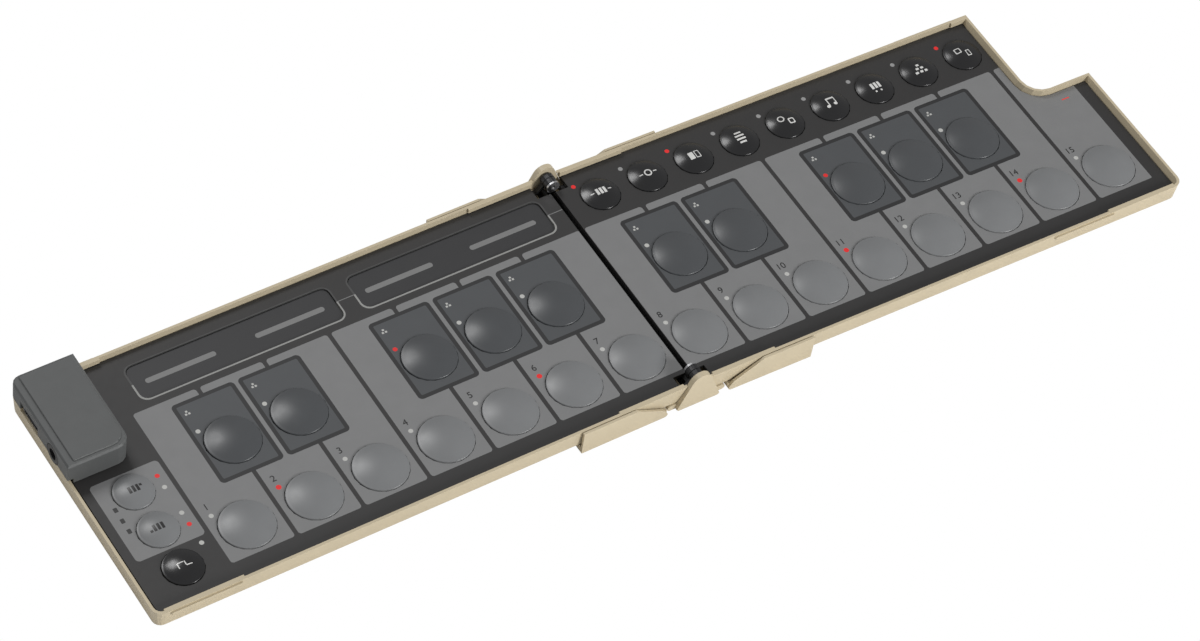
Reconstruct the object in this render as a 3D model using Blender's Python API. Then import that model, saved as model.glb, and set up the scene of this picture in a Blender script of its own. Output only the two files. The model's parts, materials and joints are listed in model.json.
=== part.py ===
"""Slim two-half music keyboard that folds shut like a book.

All sizes are in metres. Each half is drawn in its own flat frame: X runs along
the keyboard, Y from front to back, Z is 0 on the printed deck, and the hinge
line stands over X = 0. Each half is then hung on an empty on the hinge line and
tipped a little, because the part stands on its two rails and its outer edges.
"""

import math

import bmesh
import bpy
from mathutils import Matrix, Vector

# Case halves
HALF_LENGTH = 0.1710
CASE_DEPTH = 0.0839
RIM_HEIGHT = 0.00185
CASE_BELOW_DECK = 0.00446
FLOOR_THICKNESS = 0.00106
WALL_LIP = 0.0008
END_WALL_LIP = 0.00085
END_WALL_FOOT = 0.0015
SEAM_WALL = 0.0010
SEAM_HALF_GAP = 0.00088
WALL_DRAFT = 0.0005
BOTTOM_CHAMFER = 0.0003
CASE_CORNER_RADIUS = 0.0030
NOTCH_X = 0.1502
NOTCH_Y = 0.0064
NOTCH_RADIUS = 0.00625
CLEARANCE = 0.0003

# Thickened rim and finger lips
PAD_WIDTH = 0.0006
HINGE_PAD_END = 0.0259
OUTER_PAD_START = 0.1440
LIP_LENGTH = 0.0220
LIP_REACH = 0.0005
LIP_BOTTOM = 0.0004
LIP_TOP = 0.0012
LEFT_LIP_CENTRE = -0.15575
RIGHT_LIP_CENTRE = 0.1346

# Printed deck
DECK_THICKNESS = 0.0012
HINGE_WINDOW_LENGTH = 0.0052
HINGE_WINDOW_Y = 0.0363

# Keys
KEY_PITCH = 0.0207
LEFT_KEYS = 7
RIGHT_KEYS = 8
LEFT_FIRST_KEY_X = -0.01035
RIGHT_FIRST_KEY_X = 0.01071
FRONT_ROW_Y = -0.02565
BACK_ROW_Y = 0.0010
LEFT_BACK_KEYS = (1, 2, 4, 5, 6)
RIGHT_BACK_KEYS = (8, 9, 11, 12, 13)
KEY_RADIUS = 0.0080
KEY_SEGMENTS = 20
BUTTON_RADIUS = 0.0059
BUTTON_SEGMENTS = 16
DOME_RISE = 0.0017
DOME_EDGE = 0.0003
DOME_GAP = 0.0002
DOME_TRAVEL = 0.0007
PLUNGER_RADIUS = 0.0020
TOP_ROW_COUNT = 9
TOP_ROW_PITCH = 0.01609
TOP_ROW_FIRST_X = 0.01226
TOP_ROW_Y = 0.0300
SIDE_COLUMN_X = -0.1564
SIDE_COLUMN_Y = (-0.0022, -0.0162, -0.0300)
SIDE_COLUMN_NAMES = ("semitone_up_button", "semitone_down_button", "sustain_button")

# Touch strips
STRIP_SPANS = ((-0.1393, -0.0753), (-0.0692, -0.0059))
STRIP_NAMES = ("touch_strip_outer", "touch_strip_inner")
STRIP_Y = 0.0300
STRIP_DEPTH = 0.0124
STRIP_RADIUS = 0.0025
STRIP_RECESS = 0.00045
STRIP_GAP = 0.0002

# Circuit boards
BOARD_THICKNESS = 0.0007
BOARD_TOP_BELOW_DECK = 0.0024
BOARD_MARGIN = 0.0012
BOARD_HINGE_LENGTH = 0.0150
BOARD_HINGE_Y = 0.0340
CHIP_SIZE = 0.0060
CHIP_HEIGHT = 0.0008

# Corner block with the two sockets
BLOCK_RIGHT_X = -0.1516
BLOCK_FRONT_Y = 0.0078
BLOCK_HEIGHT = 0.0083
BLOCK_WALL = 0.0012
BLOCK_SHOULDER = 0.0004
BLOCK_TOP_CHAMFER = 0.0005
BLOCK_BACK_RADIUS = 0.0029
BLOCK_FRONT_RADIUS = 0.0041
PANEL_LEFT_BORDER = 0.0023
PANEL_FRONT_BORDER = 0.0013
PANEL_BORDER = 0.0009
SLOT_Y = 0.03025
SLOT_LENGTH = 0.0101
SLOT_BOTTOM = 0.0012
SLOT_TOP = 0.0050
JACK_Y = 0.0166
JACK_Z = 0.0037
JACK_RING_RADIUS = 0.00305
JACK_HOLE_RADIUS = 0.00325
JACK_BORE_RADIUS = 0.00178
JACK_BORE_DEPTH = 0.0100
JACK_BODY = (0.0118, 0.0058, 0.0048)
USB_WIDTH = 0.0089
USB_HEIGHT = 0.0032
USB_LENGTH = 0.0073
USB_SHELL = 0.0003
USB_FRONT_INSET = 0.0006
USB_TONGUE = (0.0050, 0.0064, 0.0007)
PORT_BOARD_TOP = 0.0012
PORT_BOARD_THICKNESS = 0.0008

# Hinges
AXIS_HEIGHT = 0.00205
KNUCKLE_RADIUS = 0.0021
PIN_RADIUS = 0.0010
PIN_CLEARANCE = 0.00015
PIN_HEAD_THICKNESS = 0.0006
KNUCKLE_LENGTH = 0.0015
KNUCKLE_GAP = 0.0002
HINGE_INNER_Y = 0.0366
HINGE_SEGMENTS = 20
LEAF_THICKNESS = 0.0008
LEAF_FOOT_START = 0.0060
LEAF_FOOT_END = 0.0130
LEAF_FOOT_BELOW_DECK = 0.00025
BOSS_RADIUS = 0.0016

# Spine
EAR_INNER_Y = 0.0413
EAR_THICKNESS = 0.00165
EAR_RADIUS = 0.0034
EAR_FOOT = 0.0071
SPINE_HALF_WIDTH = 0.0096
SPINE_THICKNESS = 0.00194
WALL_END_GAP = 0.0005

# Rails under each half
RAIL_INNER_X = 0.0103
RAIL_OUTER_X = 0.0385
RAIL_BEND_X = 0.0213
RAIL_SHOULDER_X = 0.0117
RAIL_SHOULDER_DROP = 0.0035
RAIL_DROP = 0.00235
RAIL_TOP_BELOW_RIM = 0.0001
FLANGE_GAP = 0.00025
FLANGE_THICKNESS = 0.00075
RAIL_NOSE_RADIUS = 0.0011

# Values that follow from the sizes above
HALF_DEPTH = CASE_DEPTH / 2
CASE_BOTTOM = -CASE_BELOW_DECK
FLOOR_TOP = CASE_BOTTOM + FLOOR_THICKNESS
WALL_INNER_Y = HALF_DEPTH - WALL_LIP
SEAM_WALL_TOP = -DECK_THICKNESS - CLEARANCE
BOARD_TOP = -BOARD_TOP_BELOW_DECK
BOARD_BOTTOM = BOARD_TOP - BOARD_THICKNESS
DOME_FLOOR = -DECK_THICKNESS
PLUNGER_BOTTOM = BOARD_TOP + DOME_TRAVEL + 0.0001
RAIL_BOTTOM = CASE_BOTTOM - RAIL_DROP
UNDER_CASE = CASE_BOTTOM - CLEARANCE
SPINE_BOTTOM = UNDER_CASE - SPINE_THICKNESS
EAR_OUTER_Y = EAR_INNER_Y + EAR_THICKNESS
FLANGE_INNER_Y = HALF_DEPTH + FLANGE_GAP
FLANGE_OUTER_Y = FLANGE_INNER_Y + FLANGE_THICKNESS
OUTER_EDGE_X = HALF_LENGTH - WALL_DRAFT - BOTTOM_CHAMFER
TILT = math.atan2(RAIL_DROP, OUTER_EDGE_X - RAIL_OUTER_X)
AXIS_WORLD_Z = RAIL_OUTER_X * math.sin(TILT) + (AXIS_HEIGHT - RAIL_BOTTOM) * math.cos(TILT)

# Colours as red, green, blue, roughness, metallic
FINISHES = {
    "cream_plastic": (0.62, 0.53, 0.38, 0.45, 0.0),
    "black_deck": (0.022, 0.021, 0.022, 0.55, 0.0),
    "grey_dome": (0.22, 0.225, 0.23, 0.45, 0.0),
    "dark_dome": (0.075, 0.078, 0.083, 0.45, 0.0),
    "black_dome": (0.015, 0.015, 0.016, 0.35, 0.0),
    "block_grey": (0.085, 0.088, 0.088, 0.55, 0.0),
    "steel": (0.55, 0.55, 0.56, 0.25, 1.0),
    "black_steel": (0.03, 0.03, 0.032, 0.35, 0.8),
    "board_green": (0.02, 0.11, 0.05, 0.5, 0.0),
    "socket_black": (0.02, 0.02, 0.02, 0.5, 0.0),
    "strip_black": (0.03, 0.03, 0.032, 0.4, 0.0),
}


def clear_scene():
    """Remove every object that the start file holds."""
    for old in list(bpy.data.objects):
        bpy.data.objects.remove(old, do_unlink=True)


def finish(name):
    """Principled material of one finish, made once."""
    found = bpy.data.materials.get(name)
    if found:
        return found
    red, green, blue, roughness, metallic = FINISHES[name]
    made = bpy.data.materials.new(name)
    made.use_nodes = True
    shader = made.node_tree.nodes["Principled BSDF"]
    shader.inputs["Base Color"].default_value = (red, green, blue, 1.0)
    shader.inputs["Roughness"].default_value = roughness
    shader.inputs["Metallic"].default_value = metallic
    return made


def mesh_object(name, bm):
    """Object at the origin from a bmesh whose faces are turned outwards."""
    bmesh.ops.remove_doubles(bm, verts=bm.verts, dist=1e-7)
    bmesh.ops.recalc_face_normals(bm, faces=bm.faces)
    mesh = bpy.data.meshes.new(name)
    bm.to_mesh(mesh)
    bm.free()
    made = bpy.data.objects.new(name, mesh)
    bpy.context.scene.collection.objects.link(made)
    return made


def outline(corners, insets=0.0, steps=4):
    """Points round a polygon given anticlockwise as (x, y, fillet radius).

    Each edge moves inwards by its own inset, so a filleted outer corner gets a
    smaller radius and a filleted inner corner a larger one.
    """
    count = len(corners)
    if not isinstance(insets, (tuple, list)):
        insets = (insets,) * count
    lines = []
    for index in range(count):
        start = Vector(corners[index][:2])
        end = Vector(corners[(index + 1) % count][:2])
        along = (end - start).normalized()
        inward = Vector((-along.y, along.x))
        lines.append((start + inward * insets[index], along))
    points = []
    for index in range(count):
        (base_a, dir_a), (base_b, dir_b) = lines[index - 1], lines[index]
        cross = dir_a.x * dir_b.y - dir_a.y * dir_b.x
        gap = base_b - base_a
        travel = (gap.x * dir_b.y - gap.y * dir_b.x) / cross
        corner = base_a + dir_a * travel
        radius = corners[index][2]
        if radius == 0.0:
            points.append(corner)
            continue
        inset = max(insets[index - 1], insets[index])
        turn = math.atan2(cross, dir_a.dot(dir_b))
        radius = max(radius - math.copysign(inset, turn), 0.0001)
        cut = radius * math.tan(abs(turn) / 2)
        first = corner - dir_a * cut
        side = math.copysign(1.0, turn)
        centre = first + Vector((-dir_a.y, dir_a.x)) * radius * side
        spoke = first - centre
        for step in range(steps + 1):
            points.append(centre + Matrix.Rotation(turn * step / steps, 2) @ spoke)
    return points


def loft(name, levels):
    """Closed solid through outlines of equal length, each as (points, z)."""
    bm = bmesh.new()
    rings = [[bm.verts.new((p.x, p.y, z)) for p in points] for points, z in levels]
    for low, high in zip(rings, rings[1:]):
        for index in range(len(low)):
            after = (index + 1) % len(low)
            bm.faces.new((low[index], low[after], high[after], high[index]))
    bm.faces.new(rings[0][::-1])
    bm.faces.new(rings[-1])
    return mesh_object(name, bm)


def box(name, low, high):
    """Box between two corners."""
    flat = [(low[0], low[1], 0), (high[0], low[1], 0), (high[0], high[1], 0), (low[0], high[1], 0)]
    ring = [Vector(p[:2]) for p in flat]
    return loft(name, [(ring, low[2]), (ring, high[2])])


def along_y(name, points, low, high):
    """Outline drawn in X and Z, carried from one Y to another."""
    bm = bmesh.new()
    rings = [[bm.verts.new((x, y, z)) for x, z in points] for y in (low, high)]
    for index in range(len(points)):
        after = (index + 1) % len(points)
        bm.faces.new((rings[0][index], rings[0][after], rings[1][after], rings[1][index]))
    bm.faces.new(rings[0][::-1])
    bm.faces.new(rings[1])
    return mesh_object(name, bm)


def turned(name, profile, segments, axis="Z"):
    """Solid of revolution from (radius, height) points; radius 0 closes an end."""
    bm = bmesh.new()
    rings = []
    for radius, height in profile:
        if radius == 0.0:
            rings.append([bm.verts.new((0.0, 0.0, height))])
            continue
        ring = []
        for step in range(segments):
            angle = 2 * math.pi * step / segments
            ring.append(bm.verts.new((radius * math.cos(angle), radius * math.sin(angle), height)))
        rings.append(ring)
    pairs = list(zip(rings, rings[1:]))
    if profile[0][0] > 0.0:
        pairs.append((rings[-1], rings[0]))
    for first, second in pairs:
        for step in range(segments):
            after = (step + 1) % segments
            if len(first) == 1:
                bm.faces.new((first[0], second[after], second[step]))
            elif len(second) == 1:
                bm.faces.new((first[step], first[after], second[0]))
            else:
                bm.faces.new((first[step], first[after], second[after], second[step]))
    if axis == "Y":
        bmesh.ops.rotate(bm, verts=bm.verts, matrix=Matrix.Rotation(-math.pi / 2, 3, "X"))
    if axis == "X":
        bmesh.ops.rotate(bm, verts=bm.verts, matrix=Matrix.Rotation(math.pi / 2, 3, "Y"))
    return mesh_object(name, bm)


def moved(made, x=0.0, y=0.0, z=0.0):
    """Shift a mesh inside its object and return the object."""
    made.data.transform(Matrix.Translation((x, y, z)))
    return made


def combine(target, tool, operation):
    """Boolean one mesh into another and drop the tool."""
    change = target.modifiers.new("shape", "BOOLEAN")
    change.object = tool
    change.operation = operation
    change.solver = "EXACT"
    graph = bpy.context.evaluated_depsgraph_get()
    result = bpy.data.meshes.new_from_object(target.evaluated_get(graph))
    target.modifiers.clear()
    target.data = result
    bpy.data.objects.remove(tool, do_unlink=True)
    return target


def cut(target, *tools):
    """Take the tools out of the target."""
    for tool in tools:
        combine(target, tool, "DIFFERENCE")
    return target


def join(target, *tools):
    """Fuse the tools into the target."""
    for tool in tools:
        combine(target, tool, "UNION")
    return target


def smooth(made, angle=math.radians(35)):
    """Shade round faces smooth and keep real edges sharp."""
    made.data.shade_smooth()
    made.data.set_sharp_from_angle(angle=angle)
    return made


def place(made, colour, carrier, location=(0.0, 0.0)):
    """Give a piece its finish and hang it on its carrier, deck level at Z = 0."""
    made.data.materials.clear()
    made.data.materials.append(finish(colour))
    made.parent = carrier
    made.location = (location[0], location[1], -AXIS_HEIGHT)
    return made


def hinge_carrier(name, tilt):
    """Empty on the hinge line, turned by the resting tilt of what it carries."""
    made = bpy.data.objects.new(name, None)
    made.location = (0.0, 0.0, AXIS_WORLD_Z)
    made.rotation_euler = (0.0, tilt, 0.0)
    bpy.context.scene.collection.objects.link(made)
    return made


def case_corners(side):
    """Outer rim of a half, anticlockwise, and the role of each edge."""
    if side < 0:
        corners = [
            (-HALF_LENGTH, -HALF_DEPTH, CASE_CORNER_RADIUS),
            (-SEAM_HALF_GAP, -HALF_DEPTH, 0.0),
            (-SEAM_HALF_GAP, HALF_DEPTH, 0.0),
            (-HALF_LENGTH, HALF_DEPTH, CASE_CORNER_RADIUS),
        ]
        return corners, ("long", "seam", "long", "end")
    corners = [
        (SEAM_HALF_GAP, -HALF_DEPTH, 0.0),
        (HALF_LENGTH, -HALF_DEPTH, CASE_CORNER_RADIUS),
        (HALF_LENGTH, NOTCH_Y, 0.0),
        (NOTCH_X, NOTCH_Y, NOTCH_RADIUS),
        (NOTCH_X, HALF_DEPTH, 0.0),
        (SEAM_HALF_GAP, HALF_DEPTH, 0.0),
    ]
    return corners, ("long", "end", "long", "end", "long", "seam")


def case_level(side, widths, height):
    """One outline of the tray: an inset for each role of edge, at one height."""
    corners, roles = case_corners(side)
    return outline(corners, [widths[role] for role in roles]), height


def wall_end_line(height):
    """Half width of the gap that the case leaves round an ear, at one height."""
    slope = (EAR_FOOT - EAR_RADIUS) / (AXIS_HEIGHT - SPINE_BOTTOM)
    return EAR_RADIUS + WALL_END_GAP + slope * (AXIS_HEIGHT - height)


def case_half(name, side):
    """Open tray with drafted walls, a low seam wall and slanted wall ends."""
    draft = {"long": WALL_DRAFT, "end": WALL_DRAFT, "seam": 0.0}
    sole = {role: width + BOTTOM_CHAMFER for role, width in draft.items()}
    sole["seam"] = 0.0
    rim = {"long": 0.0, "end": 0.0, "seam": 0.0}
    lip = {"long": WALL_LIP, "end": END_WALL_LIP, "seam": SEAM_WALL}
    well = {"long": WALL_LIP, "end": END_WALL_FOOT, "seam": SEAM_WALL}
    tray = loft(name, [
        case_level(side, sole, CASE_BOTTOM),
        case_level(side, draft, CASE_BOTTOM + BOTTOM_CHAMFER),
        case_level(side, rim, RIM_HEIGHT),
        case_level(side, lip, RIM_HEIGHT),
        case_level(side, well, 0.0),
        case_level(side, {**well, "long": WALL_LIP + WALL_DRAFT}, FLOOR_TOP),
    ])
    add_rim_pads(tray, side)
    add_finger_lips(tray, side)
    foot = (LEAF_FOOT_START + LEAF_FOOT_END) / 2
    for end in (-1, 1):
        boss = turned("boss", [(0.0, FLOOR_TOP - 0.0002), (BOSS_RADIUS, FLOOR_TOP - 0.0002),
                               (BOSS_RADIUS, leaf_bottom() - CLEARANCE),
                               (0.0, leaf_bottom() - CLEARANCE)], 12)
        join(tray, moved(boss, side * foot, end * hinge_foot_y()))
    reach = SEAM_HALF_GAP + SEAM_WALL + 0.0002
    low, high = sorted((side * reach, 0.0))
    cut(tray, box("seam_relief", (low, -WALL_INNER_Y, SEAM_WALL_TOP),
                  (high, WALL_INNER_Y, RIM_HEIGHT + 0.001)))
    above, below = RIM_HEIGHT + 0.001, CASE_BOTTOM - 0.001
    profile = [(side * wall_end_line(above), above), (-side * 0.001, above),
               (-side * 0.001, below), (side * wall_end_line(below), below)]
    for end in (-1, 1):
        near, far = sorted((end * (EAR_INNER_Y - CLEARANCE - 0.00005), end * (HALF_DEPTH + 0.002)))
        cut(tray, along_y("wall_end", profile, near, far))
    return tray


def add_rim_pads(tray, side):
    """Wider rim beside the hinge and at the outer end, just over the deck edge."""
    back_end = NOTCH_X - END_WALL_LIP if side > 0 else -BLOCK_RIGHT_X - CLEARANCE
    spans = (
        (-1, wall_end_line(0.0), HINGE_PAD_END),
        (1, wall_end_line(0.0), HINGE_PAD_END),
        (-1, OUTER_PAD_START, HALF_LENGTH - CASE_CORNER_RADIUS),
        (1, OUTER_PAD_START, back_end),
    )
    for end, near, far in spans:
        x_low, x_high = sorted((side * near, side * far))
        y_low, y_high = sorted((end * (WALL_INNER_Y - PAD_WIDTH), end * (WALL_INNER_Y + WALL_LIP / 2)))
        join(tray, box("pad", (x_low, y_low, CLEARANCE), (x_high, y_high, RIM_HEIGHT)))


def add_finger_lips(tray, side):
    """Short ledges on the outer walls, one half's beside the other's when shut."""
    centre = LEFT_LIP_CENTRE if side < 0 else RIGHT_LIP_CENTRE
    root = HALF_DEPTH - WALL_LIP / 2
    for end in (-1, 1):
        half = LIP_LENGTH / 2
        points = [Vector((centre - half, end * root)), Vector((centre + half, end * root)),
                  Vector((centre + half - LIP_REACH, end * (HALF_DEPTH + LIP_REACH))),
                  Vector((centre - half + LIP_REACH, end * (HALF_DEPTH + LIP_REACH)))]
        if end < 0:
            points.reverse()
        join(tray, loft("lip", [(points, LIP_BOTTOM), (points, LIP_TOP)]))


def left_socket_cuts(tray):
    """Scallops in the left wall under the slot and the round jack."""
    outer = -HALF_LENGTH - 0.001
    inner = -HALF_LENGTH + END_WALL_FOOT + 0.001
    slot = box("slot", (outer, SLOT_Y - SLOT_LENGTH / 2, SLOT_BOTTOM),
               (inner, SLOT_Y + SLOT_LENGTH / 2, SLOT_TOP))
    ring = moved(turned("ring", [(0.0, outer), (JACK_HOLE_RADIUS, outer), (JACK_HOLE_RADIUS, inner),
                                 (0.0, inner)], 24, "X"), 0.0, JACK_Y, JACK_Z)
    cut(tray, slot, ring)


def dome_places():
    """Each dome as (name, half, x, y, radius, segments, finish)."""
    places = []
    for index in range(LEFT_KEYS):
        x = LEFT_FIRST_KEY_X - index * KEY_PITCH
        places.append(("key_%02d" % (LEFT_KEYS - index), -1, x, FRONT_ROW_Y, "key", "grey_dome"))
    for index in range(RIGHT_KEYS):
        x = RIGHT_FIRST_KEY_X + index * KEY_PITCH
        places.append(("key_%02d" % (LEFT_KEYS + 1 + index), 1, x, FRONT_ROW_Y, "key", "grey_dome"))
    for number in LEFT_BACK_KEYS:
        x = LEFT_FIRST_KEY_X - (LEFT_KEYS - number - 0.5) * KEY_PITCH
        places.append(("back_key_%02d" % number, -1, x, BACK_ROW_Y, "key", "dark_dome"))
    for number in RIGHT_BACK_KEYS:
        x = RIGHT_FIRST_KEY_X + (number - LEFT_KEYS - 0.5) * KEY_PITCH
        places.append(("back_key_%02d" % number, 1, x, BACK_ROW_Y, "key", "dark_dome"))
    for index in range(TOP_ROW_COUNT):
        x = TOP_ROW_FIRST_X + index * TOP_ROW_PITCH
        places.append(("function_button_%d" % (index + 1), 1, x, TOP_ROW_Y, "button", "black_dome"))
    side_finishes = ("grey_dome", "grey_dome", "black_dome")
    for name, y, colour in zip(SIDE_COLUMN_NAMES, SIDE_COLUMN_Y, side_finishes):
        places.append((name, -1, SIDE_COLUMN_X, y, "button", colour))
    return places


def dome(name, kind):
    """Sprung rubber dome: a crowned cap on a straight edge, with a plunger below."""
    radius = KEY_RADIUS if kind == "key" else BUTTON_RADIUS
    segments = KEY_SEGMENTS if kind == "key" else BUTTON_SEGMENTS
    crown = DOME_RISE - DOME_EDGE
    sphere = (radius ** 2 + crown ** 2) / (2 * crown)
    half_way = 0.62 * radius
    half_height = DOME_RISE - sphere + math.sqrt(sphere ** 2 - half_way ** 2)
    profile = [(0.0, PLUNGER_BOTTOM), (PLUNGER_RADIUS, PLUNGER_BOTTOM), (PLUNGER_RADIUS, DOME_FLOOR),
               (radius, DOME_FLOOR), (radius, DOME_EDGE), (half_way, half_height), (0.0, DOME_RISE)]
    return smooth(turned(name, profile, segments))


def deck_half(name, side):
    """Printed top sheet with a hole for each dome and windows at the hinges."""
    long_gap = WALL_LIP + CLEARANCE
    end_gap = END_WALL_FOOT + CLEARANCE
    if side < 0:
        inner = BLOCK_WALL
        corners = [
            (-HALF_LENGTH, -HALF_DEPTH, CASE_CORNER_RADIUS),
            (-SEAM_HALF_GAP, -HALF_DEPTH, 0.0),
            (-SEAM_HALF_GAP, HALF_DEPTH, 0.0),
            (BLOCK_RIGHT_X - inner, HALF_DEPTH, 0.0),
            (BLOCK_RIGHT_X - inner, BLOCK_FRONT_Y + inner, 0.0),
            (-HALF_LENGTH, BLOCK_FRONT_Y + inner, 0.0),
        ]
        insets = (long_gap, 0.0, long_gap, 0.0, 0.0, end_gap)
    else:
        corners, roles = case_corners(side)
        widths = {"long": long_gap, "end": end_gap, "seam": 0.0}
        insets = [widths[role] for role in roles]
    points = outline(corners, insets)
    sheet = loft(name, [(points, -DECK_THICKNESS), (points, 0.0)])
    for _, half, x, y, kind, _ in dome_places():
        if half != side:
            continue
        radius = (KEY_RADIUS if kind == "key" else BUTTON_RADIUS) + DOME_GAP
        segments = KEY_SEGMENTS if kind == "key" else BUTTON_SEGMENTS
        hole = turned("hole", [(0.0, -0.003), (radius, -0.003), (radius, 0.003), (0.0, 0.003)], segments)
        cut(sheet, moved(hole, x, y))
    if side < 0:
        for low, high in STRIP_SPANS:
            points = strip_outline(low, high, 0.0)
            cut(sheet, loft("window", [(points, -0.003), (points, 0.003)]))
    for end in (-1, 1):
        x_low, x_high = sorted((side * HINGE_WINDOW_LENGTH, 0.0))
        y_low, y_high = sorted((end * HINGE_WINDOW_Y, end * HALF_DEPTH))
        cut(sheet, box("hinge_window", (x_low, y_low, -0.003), (x_high, y_high, 0.003)))
    return sheet


def strip_outline(low, high, inset):
    """Rounded rectangle of a touch strip between two X values."""
    front, back = STRIP_Y - STRIP_DEPTH / 2, STRIP_Y + STRIP_DEPTH / 2
    corners = [(low, front, STRIP_RADIUS), (high, front, STRIP_RADIUS),
               (high, back, STRIP_RADIUS), (low, back, STRIP_RADIUS)]
    return outline(corners, inset)


def touch_strip(name, low, high):
    """Smooth touch plate that lies a little below the deck in its window."""
    points = strip_outline(low, high, STRIP_GAP)
    return loft(name, [(points, -DECK_THICKNESS), (points, -STRIP_RECESS)])


def board_half(name, side):
    """Circuit board in the tray, cut back round the hinges, with its chips."""
    corners, roles = case_corners(side)
    widths = {"long": WALL_LIP + BOARD_MARGIN, "end": END_WALL_FOOT + BOARD_MARGIN,
              "seam": SEAM_WALL + CLEARANCE}
    points = outline(corners, [widths[role] for role in roles])
    board = loft(name, [(points, BOARD_BOTTOM), (points, BOARD_TOP)])
    for end in (-1, 1):
        x_low, x_high = sorted((side * BOARD_HINGE_LENGTH, 0.0))
        y_low, y_high = sorted((end * BOARD_HINGE_Y, end * HALF_DEPTH))
        cut(board, box("hinge_room", (x_low, y_low, -0.006), (x_high, y_high, 0.006)))
    between_rows = (FRONT_ROW_Y + BACK_ROW_Y) / 2
    for step in (2, 4):
        x = side * (step * KEY_PITCH + KEY_PITCH / 4)
        half = CHIP_SIZE / 2
        chip = box("chip", (x - half, between_rows - half, BOARD_TOP - 0.0002),
                   (x + half, between_rows + half, BOARD_TOP + CHIP_HEIGHT))
        join(board, chip)
    return board


def hinge_foot_y():
    """Middle of a hinge leaf's foot, measured from the centre of the depth."""
    return (HINGE_WINDOW_Y + EAR_INNER_Y) / 2


def leaf_top():
    """Upper face of a hinge leaf's foot, under the deck."""
    return -DECK_THICKNESS - LEAF_FOOT_BELOW_DECK


def leaf_bottom():
    """Lower face of a hinge leaf's foot."""
    return leaf_top() - LEAF_THICKNESS


def knuckle_span(slot):
    """Y range of a knuckle, counted outwards from the pin's head."""
    start = HINGE_INNER_Y + PIN_HEAD_THICKNESS + KNUCKLE_GAP
    start += slot * (KNUCKLE_LENGTH + KNUCKLE_GAP)
    return start, start + KNUCKLE_LENGTH


def hinge_leaf(name, side, end):
    """Steel leaf: a knuckle round the pin and a cranked arm to a foot in the case."""
    low, high = knuckle_span(1 if side < 0 else 0)
    bore = PIN_RADIUS + PIN_CLEARANCE
    knuckle = turned(name, [(bore, low), (KNUCKLE_RADIUS, low), (KNUCKLE_RADIUS, high), (bore, high)],
                     HINGE_SEGMENTS, "Y")
    moved(knuckle, 0.0, 0.0, AXIS_HEIGHT)
    mid = (bore + KNUCKLE_RADIUS) / 2
    root_x = mid * math.cos(math.radians(32))
    root_z = AXIS_HEIGHT - mid * math.sin(math.radians(32))
    thick = LEAF_THICKNESS / math.sqrt(2)
    run_top = root_z - leaf_top()
    run_low = root_z - thick - leaf_bottom()
    profile = [(root_x, root_z), (root_x + run_top, leaf_top()), (LEAF_FOOT_END, leaf_top()),
               (LEAF_FOOT_END, leaf_bottom()), (root_x - thick + run_low, leaf_bottom()),
               (root_x - thick, root_z - thick)]
    profile = [(side * x, z) for x, z in profile]
    join(knuckle, along_y("arm", profile, low + 0.00005, high - 0.00005))
    x_low, x_high = sorted((side * LEAF_FOOT_START, side * LEAF_FOOT_END))
    y_low, y_high = HINGE_WINDOW_Y, WALL_INNER_Y - WALL_DRAFT - CLEARANCE
    x_grow = side * 0.0001
    join(knuckle, box("foot", (x_low + x_grow, y_low, leaf_bottom() - 0.00002),
                      (x_high + x_grow, y_high, leaf_top() + 0.00002)))
    if end < 0:
        knuckle.data.transform(Matrix.Scale(-1, 4, (0, 1, 0)))
        knuckle.data.flip_normals()
    return smooth(knuckle)


def hinge_pin(name, end):
    """Steel pin with a dimpled head towards the middle of the keyboard."""
    head = HINGE_INNER_Y + PIN_HEAD_THICKNESS
    tip = EAR_OUTER_Y - WALL_LIP
    profile = [(0.0, HINGE_INNER_Y + 0.0002), (0.0007, HINGE_INNER_Y), (KNUCKLE_RADIUS, HINGE_INNER_Y),
               (KNUCKLE_RADIUS, head), (PIN_RADIUS, head), (PIN_RADIUS, tip), (0.0, tip)]
    pin = moved(turned(name, profile, HINGE_SEGMENTS, "Y"), 0.0, 0.0, AXIS_HEIGHT)
    if end < 0:
        pin.data.transform(Matrix.Scale(-1, 4, (0, 1, 0)))
        pin.data.flip_normals()
    return smooth(pin)


def ear_outline(steps=10):
    """Ear in X and Z: a straight foot, two tangent sides and a round top."""
    reach = math.hypot(EAR_FOOT, AXIS_HEIGHT - SPINE_BOTTOM)
    lean = math.atan2(AXIS_HEIGHT - SPINE_BOTTOM, EAR_FOOT) + math.asin(EAR_RADIUS / reach)
    start = math.pi / 2 - lean
    points = [(EAR_FOOT - 0.0006, SPINE_BOTTOM), (EAR_FOOT, SPINE_BOTTOM + 0.0006)]
    for step in range(steps + 1):
        angle = start + (math.pi - 2 * start) * step / steps
        points.append((EAR_RADIUS * math.cos(angle), AXIS_HEIGHT + EAR_RADIUS * math.sin(angle)))
    points += [(-EAR_FOOT, SPINE_BOTTOM + 0.0006), (-EAR_FOOT + 0.0006, SPINE_BOTTOM)]
    return points


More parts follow.
